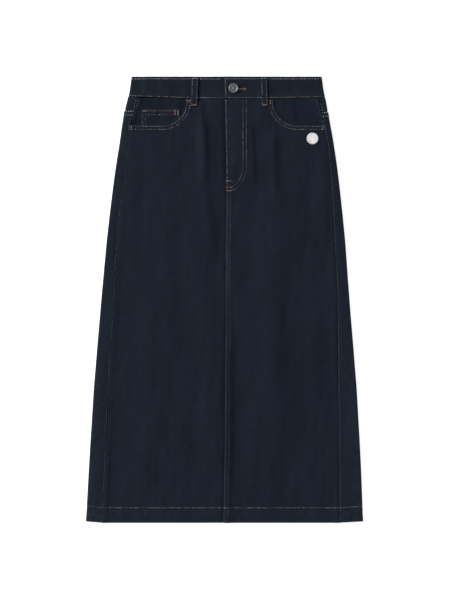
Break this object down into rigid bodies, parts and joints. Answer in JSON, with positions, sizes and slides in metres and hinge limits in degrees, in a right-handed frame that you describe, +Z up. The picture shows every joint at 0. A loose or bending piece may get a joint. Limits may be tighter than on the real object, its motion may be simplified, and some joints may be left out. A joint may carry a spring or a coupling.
{
  "type": "denim skirt",
  "caption": "Long A-line denim skirt laid flat, with waistband, belt loops, shank button, fly front, curved front pockets, coin pocket, yoked back and topstitched hem.",
  "frame": {"origin": "centre of the bounding box's bottom face, on the surface that the skirt lies on", "axes": "+X across the skirt, towards the wearer's left side; +Y along it, from the hem to the waist; +Z up, out of the front"},
  "size_m": [0.4998, 0.804, 0.0147],
  "materials": {
    "denim": "dark indigo twill, dry and matt, with a faint lighter fleck",
    "thread": "copper-coloured polyester topstitching with a low sheen",
    "button_metal": "antique pewter, slightly worn bright on its rim",
    "zip_metal": "dull antique brass",
    "zip_tape": "navy woven tape",
    "patch": "white satin-stitched patch"
  },
  "bodies": {
    "root": {"front_right": "denim", "front_left": "denim", "back_right": "denim", "back_left": "denim", "back_yoke_right": "denim", "back_yoke_left": "denim", "pocket_facing_right": "denim", "pocket_facing_left": "denim", "coin_pocket": "denim", "waistband": "denim", "belt_loop_front_right": "denim", "belt_loop_front_left": "denim", "belt_loop_back_right": "denim", "belt_loop_back_centre": "denim", "belt_loop_back_left": "denim", "zip_tape_right": "zip_tape", "zip_tape_left": "zip_tape", "zip_chain": "zip_metal", "zip_slider": "zip_metal", "button": "button_metal", "badge": "patch"}
  },
  "joints": []
}
